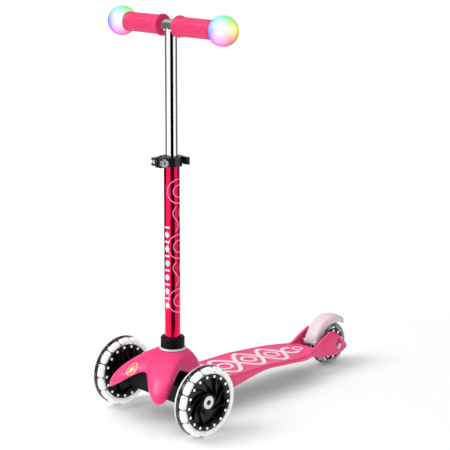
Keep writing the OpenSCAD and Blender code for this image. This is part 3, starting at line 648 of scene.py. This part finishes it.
# ---- Wheels -------------------------------------------------------------
def wheel(prefix, suffix, body, bars, lamps, blades, bar_finish, bar_share):
    """A clear tyre with white bars in it, on a black core with curved blades and a ring of lamps.
    bar_share is the part of the ring that the bars fill."""
    tyre, core = prefix + "_tyre" + suffix, prefix + "_core" + suffix
    centre = middle(tyre)
    outer = size(tyre).z / 2 / MM
    half = size(tyre).x / 2 / MM
    seat = size(core).z / 2 / MM
    name = prefix + suffix
    profile = [(seat, -half + 1.6), (seat + 1.4, -half + 0.5), (seat + 4, -half + 0.05),
               (outer - 6.5, -half + 0.35), (outer - 3.2, -half + 2.2), (outer - 1.1, -half + 5.2),
               (outer - 0.2, -half + 8.6), (outer, 0)]
    profile += [(r, -x) for r, x in profile[-2::-1]]
    add_piece(name + "_tyre_ring", *lathe(profile, centre, 120), "clear_tyre", body, (tyre,),
              "clear_tyre", 60.0)
    add_piece(name + "_white_bars", *white_bars(centre, outer, seat, half, bars, bar_share), bar_finish,
              body, (), "lamp_white", 40.0)
    add_piece(name + "_spoked_core", *spoked_core(centre, seat, half, blades), "wheel_core", body,
              (core,), "wheel_core", 32.0, 0.35)
    add_piece(name + "_lamps", *lamp_ring(centre, seat, half, lamps), "lamp_white", body,
              (prefix + "_light_ring" + suffix,), "lamp_white")
    add_piece(name + "_bearing_rings", *bearing_rings(centre, half), "bearing_steel", body,
              (prefix + "_bearings" + suffix,), "bearing_steel", 50.0)


def white_bars(centre, outer, seat, half, count, share):
    """White bars with rounded ends in the left part of the clear tyre, and a thin band on its right."""
    low, high = seat + 2.0, outer - 4.4
    mid = (low + high) / 2
    pitch = math.tau / count
    shapes = []
    for k in range(count):
        points = []
        steps = 12
        for i in range(steps + 1):
            t = i / steps * 2 - 1
            a = pitch * (k + 0.5) + t * pitch * share / 2
            swell = math.sqrt(max(0.0, 1 - abs(t) ** 4)) * 0.8 + 0.2
            reach, wide = (high - low) / 2 * swell, 5.2 * (0.75 + 0.25 * swell)
            ring = [(mid - reach, -wide * 0.8), (mid - reach * 0.3, -wide), (mid + reach * 0.4, -wide),
                    (mid + reach, -wide * 0.62), (mid + reach, wide * 0.62), (mid + reach * 0.4, wide),
                    (mid - reach * 0.3, wide), (mid - reach, wide * 0.8)]
            points += [centre + Vector((half - 6.2 + along, radius * math.cos(a),
                                        radius * math.sin(a))) * MM for radius, along in ring]
        shapes.append((points, closed_rings(steps + 1, 8)))
    band = [(outer - 6.6, 2.2 - half), (outer - 4.4, 2.8 - half), (outer - 2.8, 6.2 - half),
            (outer - 5.4, 6.2 - half)]
    shapes.append(lathe(band, centre, 120))
    return join_shapes(*shapes)


def spoked_core(centre, seat, half, blades):
    """Rim, hub and a thin web between them, with blades that curve opposite ways on the two sides."""
    rim_in = seat - 8.0
    face = half - 1.3
    rim = fillet([(seat, -face), (seat, face), (rim_in + 1.6, face), (rim_in - 1.2, face - 3.5),
                  (rim_in - 1.2, -face + 3.5), (rim_in + 1.6, -face)], 0.9, 3)
    hub_bore, hub_r, web_half = 11.2, 15.4, 1.5
    hub = fillet([(hub_bore, -face - 0.1), (hub_bore, face + 0.1), (hub_r - 1.8, face + 0.1),
                  (hub_r, face - 2.5), (hub_r, -face + 2.5), (hub_r - 1.8, -face - 0.1)], 0.7, 3)
    web = [(hub_r - 0.8, -web_half), (hub_r - 0.8, web_half), (rim_in, web_half), (rim_in, -web_half)]
    shapes = [lathe(rim, centre, 120), lathe(hub, centre, 72), lathe(web, centre, 96)]
    for k in range(blades):
        for side in (-1, 1):
            points = []
            steps = 9
            for i in range(steps + 1):
                t = i / steps
                radius = hub_r - 1.0 + (rim_in - hub_r + 1.5) * t
                a = math.tau * k / blades + side * (1.05 * t + 0.25 * math.sin(math.pi * t))
                thick = 1.15 + 0.9 * (2 * t - 1) ** 2
                crest = face - 1.0 - 3.6 * math.sin(math.pi * t)
                across = thick / radius
                for turn, along in ((-across, 0.5), (-across * 0.6, crest), (across * 0.6, crest),
                                    (across, 0.5)):
                    points.append(centre + Vector((side * along, radius * math.cos(a + turn),
                                                   radius * math.sin(a + turn))) * MM)
            shapes.append((points, closed_rings(steps + 1, 4)))
    return join_shapes(*shapes)


def lamp_ring(centre, seat, half, count):
    """Small domes on both faces of the core's rim."""
    shapes = []
    radius = seat - 4.2
    dome_r = 2.3
    for side in (-1, 1):
        for k in range(count):
            a = math.tau * (k + 0.5) / count
            at = centre + Vector((0, radius * math.cos(a), radius * math.sin(a))) * MM
            dome = [(0.001, half - 3.0), (dome_r, half - 3.0), (dome_r, half - 0.9),
                    (dome_r - 0.7, half - 0.4), (0.001, half - 0.2)]
            dome = [(r, side * x) for r, x in dome]
            shapes.append(lathe(dome, at, 14))
    return join_shapes(*shapes)


def bearing_rings(centre, half):
    """A ball bearing in each face of the hub, drawn as one plain ring."""
    shapes = []
    bore, outer = 4.1, 10.95
    for side in (-1, 1):
        face = side * (half - 1.15)
        back = side * (half - 8.0)
        ring = [(bore, back), (bore, face - side * 0.6), (bore + 1.1, face), (outer - 1.35, face),
                (outer, face - side * 0.7), (outer, back)]
        shapes.append(lathe(fillet(ring, 0.5, 3), centre, 64))
    return join_shapes(*shapes)


# ---- Column and handlebar -----------------------------------------------
def on_tube(radius):
    """Printing surface round the column: u is millimetres round from the front, v the height."""
    def surface(u, v, rise):
        a = u / radius - math.pi / 2
        r = (radius + rise) * MM
        return Vector((r * math.cos(a), stem_y + r * math.sin(a), v * MM))
    return surface


def column():
    """Metal and plastic of the column in the CAD's own shapes, with softer edges."""
    # The pale dust ring round the foot of the collar stands in for the highlight along the cover's rim:
    # a painted highlight.
    for node in ("lower_tube", "stem_collar", "dust_ring", "tube_bushing", "clamp_body",
                 "clamp_nut", "clamp_bolt", "lever_pin", "head_core", "release_button"):
        refined(node, 0.35)
    refined("clamp_lever", 0.9)


def grip(suffix, side):
    """Soft grip with a rolled flange, fine ribs at both ends and a raised oval panel."""
    node = "grip_" + suffix
    low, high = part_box(node)
    inner, outer = sorted((abs(low.x) / MM, abs(high.x) / MM))
    bore = 10.5
    body = 15.4

    def fine_ribs(along, last):
        """Small ribs from one place along the grip to another, and where the next one would be."""
        ribs = []
        while along < last:
            ribs += [(body, along), (body + 0.35, along + 0.7), (body, along + 1.4)]
            along += 2.1
        return ribs, along

    profile = [(bore, inner), (16.0, inner), (17.1, inner + 0.6), (17.6, inner + 1.9),
               (17.5, inner + 4.0), (16.7, inner + 5.6), (15.8, inner + 7.2)]
    ribs, along = fine_ribs(inner + 9.4, inner + 15)
    profile += ribs
    profile += [(body, along + 1.5), (body + 0.15, (inner + outer) / 2), (body, outer - 12)]
    profile += fine_ribs(outer - 10, outer - 3)[0]
    profile += [(body + 0.4, outer - 1.6), (body - 0.2, outer - 0.3), (bore, outer)]
    profile = [(r, side * x) for r, x in profile]
    centre = (0, stem_y, bar_h)
    add_piece(node + "_sleeve", *lathe(profile, centre, 96), "grip_rubber", "handlebar",
              (node,), "grip_rubber", 50.0)

    def surface(u, v, rise):
        """u runs along the bar, v round it from the side that faces front and slightly up."""
        a = math.radians(-20) + v / body
        r = (body + 0.1 + rise) * MM
        return Vector((u * MM, stem_y - r * math.cos(a), bar_h - r * math.sin(a)))

    mid = side * (inner + outer + 2) / 2
    oval = ribbon(round_path(mid, 0, 7.6, 64, 3.6), 1.6, surface, 0.8)
    reach, rise = 3.2, 2.0
    bars = [ribbon([(mid + x - reach, rise), (mid + x, -rise), (mid + x + reach, rise)], 1.1, surface,
                   0.6, False) for x in (-15, -7.5, 0, 7.5, 15)]
    add_piece(node + "_oval", *join_shapes(oval, *bars), "grip_rubber", "handlebar", (),
              "grip_rubber", 50.0)


def light_ball(suffix, side):
    """A hollow globe on the bar's end, lit in all colours, and the white neck that it sits on."""
    node = "light_lens_" + suffix
    low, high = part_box(node)
    radius = (high.z - low.z) / 2 / MM
    outer_x = max(abs(low.x), abs(high.x)) / MM
    mid_x = outer_x - radius
    mouth_x = min(abs(low.x), abs(high.x)) / MM
    mouth = mouth_x - mid_x
    first = math.acos(mouth / radius)
    steps = 28
    inner_r = radius - 1.6
    pole = 1e-4
    outside, inside = [], []
    for k in range(steps + 1):
        a, b = first * (1 - k / steps), first * k / steps
        outside.append((radius * math.sin(a) + pole, mid_x + radius * math.cos(a)))
        inside.append((inner_r * math.sin(b) + pole, mid_x + inner_r * math.cos(b)))
    profile = [(r, side * x) for r, x in outside + inside]
    centre = Vector((side * mid_x * MM, stem_y, bar_h))
    glow = rainbow("rainbow_" + suffix, centre, CAMERA_WAY)
    add_piece(node + "_globe", *lathe(profile, (0, stem_y, bar_h), 96), glow, "handlebar",
              (node,), "light_lens", 60.0)
    neck_bore, neck_r = 9.0, 13.4
    neck = fillet([(neck_bore, mouth_x + 4.5), (neck_bore, mouth_x), (neck_r, mouth_x),
                   (neck_r, mouth_x + 3), (neck_bore + 2, mouth_x + 4.5)], 0.7, 3)
    neck = [(r, side * x) for r, x in neck]
    add_piece("light_neck_" + suffix, *lathe(neck, (0, stem_y, bar_h), 72), "white_plastic",
              "handlebar", ("light_base_" + suffix,), "white_plastic")


# ---- Brake --------------------------------------------------------------
# Cross-sections of the fender in millimetres: distance behind the front axle and height of its
# outside, the same of its lower edge, half width
BRAKE = [(362.2, 49.6, 369.4, 47.8, 15.2), (361.6, 54.4, 373, 51.5, 15.5),
         (363, 60.6, 376.5, 57.5, 15.5), (366.2, 67, 380.2, 64, 15.5), (370.6, 74, 385, 70, 15.5),
         (376.2, 81, 390.2, 74.3, 15.5), (383.6, 87.4, 396, 77.7, 15.5),
         (392.6, 92, 402, 79.8, 15.5), (403, 94.5, 409, 80.9, 15.5), (415, 95, 417, 81, 15.4),
         (427, 93, 425, 80.4, 15), (437, 88.6, 432.6, 79, 14), (445, 82.6, 439.6, 76.2, 12.4),
         (449.4, 77.6, 444.2, 73.6, 10.4), (450.3, 74.2, 446.6, 72.2, 7.6)]


def brake():
    """A hollow fender over the rear wheel, with the two lobes that it swings on."""
    rings = []
    for oy, oz, iy, iz, half in spline(BRAKE, 4):
        deep = math.hypot(oy - iy, oz - iz)
        ny, nz = (oy - iy) / deep, (oz - iz) / deep
        roof = min(4.4, deep * 0.5)
        side = [(0, 0.0), (half * 0.4, 0.05), (half * 0.62, 0.5), (half - 3.6, 1.4),
                (half - 1.7, 2.9), (half - 0.5, 5.0), (half, 7.2), (half, deep - 0.7),
                (half - 0.6, deep), (half - 1.5, deep), (half - 2.1, deep - 0.6),
                (half - 2.3, 8.2), (half - 3.4, roof + 1.6), (half - 5.6, roof + 0.3),
                (half * 0.3, roof), (0, roof)]
        side = [(x, min(d, deep)) for x, d in side]
        outline = side + [(-x, d) for x, d in side[-2:0:-1]]
        rings.append([from_front(x, oy - ny * d, oz - nz * d) for x, d in outline])
    shell = ([p for ring in rings for p in ring], closed_rings(len(rings), len(rings[0])))
    bore, outer, wide = 2.6, 5.6, 7.6
    lobes = []
    for x in (-14.9, 7.3):
        ring = [(bore, x), (bore, x + wide), (outer - 0.6, x + wide), (outer, x + wide - 0.6),
                (outer, x + 0.6), (outer - 0.6, x)]
        lobes.append(lathe(ring, from_front(0, 367, 52), 40))
    add_piece("brake_shell", *join_shapes(shell, *lobes), "brake_plastic", "brake",
              ("brake_fender",), "brake_plastic", 60.0)


# ---- Printing -----------------------------------------------------------
def deck_print():
    """White waves, rings and dots on the deck in place of the maker's lettering."""
    first, last = 116.0, 320.0
    waves, rings = [], []
    for offset in (0.0, math.pi):
        path = []
        for k in range(121):
            t = k / 120
            back = first + (last - first) * t
            reach = 34 * min(1.0, (last - back) / 60 + 0.35)
            path.append((reach * math.sin(t * math.tau * 1.75 + offset), back))
        waves.append(ribbon(path, 7.5, on_deck, 0.2, False))
    for k in range(3):
        back = first + (last - first) * (k + 0.5) / 3.5
        rings.append(ribbon(round_path(0, back, 13.0, 48), 5.0, on_deck, 0.2))
    rings.append(ribbon(round_path(0, last + 9, 8.5, 40), 4.0, on_deck, 0.2))
    for side in (-34, 34):
        rings.append(ribbon(round_path(side, first + 1, 3.4, 24), 3.0, on_deck, 0.2))
    add_piece("deck_waves", *join_shapes(*waves), "print_white", "base", (), "white_plastic", 50.0)
    add_piece("deck_rings", *join_shapes(*rings), "print_white", "base", (), "white_plastic", 50.0)


def tube_print():
    """Rings and waves on the lower tube's left and marks on its front, in place of its lettering."""
    surface = on_tube(stem_r / MM)
    left_u, dot_height = 23.4, 268
    rose, white = [], []
    for height in (204, 296, 388):
        for radius in (20, 10):
            rose.append(ribbon(round_path(left_u, height, radius, 48), 1.8, surface, 0.12))
    for middle_height in (250, 342):
        for shift in (-6, 6):
            path = []
            for k in range(25):
                swing = 5 * math.sin(k / 24 * math.tau)
                path.append((left_u + shift + swing, middle_height - 20 + k / 24 * 40))
            rose.append(ribbon(path, 1.8, surface, 0.12, False))
    for height in range(196, 320, 24):
        if height != dot_height:
            white.append(patch(round_path(2.0, height, 5.0, 28, 0.8), surface, 0.14))
        bar = [(-2.5 + k, height + 12) for k in range(10)]
        white.append(ribbon(bar, 3.0, surface, 0.14, False))
    add_piece("tube_rings", *join_shapes(*rose), "print_rose", "head", (), "white_plastic", 50.0)
    add_piece("tube_ticks", *join_shapes(*white), "print_white", "head", (), "white_plastic", 50.0)
    dot = patch(round_path(2.6, dot_height, 5.2, 28, 0.85), surface, 0.16)
    add_piece("tube_dot", *dot, "print_blue", "head", (), "white_plastic", 50.0)


# Where the middle of the flower sits on the head cover, seen from ahead of it
FLOWER_SIDE, FLOWER_HEIGHT = -24.0, 92.0


def cover_sticker(cover):
    """A small gold and white flower laid on the right arm of the smoothed cover."""
    shape = cover.evaluated_get(bpy.context.evaluated_depsgraph_get()).to_mesh()
    tree = BVHTree.FromPolygons([v.co.copy() for v in shape.vertices],
                                [tuple(p.vertices) for p in shape.polygons])

    def surface(u, v, rise):
        start = from_front(FLOWER_SIDE + u, -120, FLOWER_HEIGHT + v)
        spot, normal = tree.ray_cast(start, Vector((0, 1, 0)))[:2]
        return spot + normal * rise * MM

    petals = []
    for k in range(6):
        a = math.tau * k / 6
        petals.append(patch(round_path(4.4 * math.cos(a), 4.4 * math.sin(a), 2.1, 20), surface, 0.2))
    rings = [patch(round_path(0, 0, 2.2, 20), surface, 0.3),
             ribbon(round_path(0, 0, 8.2, 40), 0.9, surface, 0.2)]
    add_piece("cover_flower", *join_shapes(*petals), "print_gold", "head", (), "white_plastic", 50.0)
    add_piece("cover_flower_ring", *join_shapes(*rings), "print_white", "head", (), "white_plastic",
              50.0)


cover_sticker(head_cover())
deck()
rear_plates()
# The front wheels' white bars glow with painted light; the rear wheel's bars stay plain white plastic.
for wheel_side in ("_left", "_right"):
    wheel("front", wheel_side, "wheel" + wheel_side, bars=14, lamps=17, blades=9,
          bar_finish="tyre_white", bar_share=0.92)
wheel("rear", "", "wheel_rear", bars=9, lamps=11, blades=8, bar_finish="white_plastic",
      bar_share=0.6)
column()
for word, way in (("left", 1), ("right", -1)):
    grip(word, way)
    light_ball(word, way)
for plain in ("axle_carrier", "knuckle_left", "knuckle_right", "tie_rod", "rear_spacers"):
    refined(plain, 0.8)
brake()
deck_print()
tube_print()

# Every other CAD node keeps its shape and gets its slot's finish
for name, obj in frame["nodes"].items():
    if not obj.hide_render:
        obj.data.materials.clear()
        obj.data.materials.append(mats[slot_of[name]])
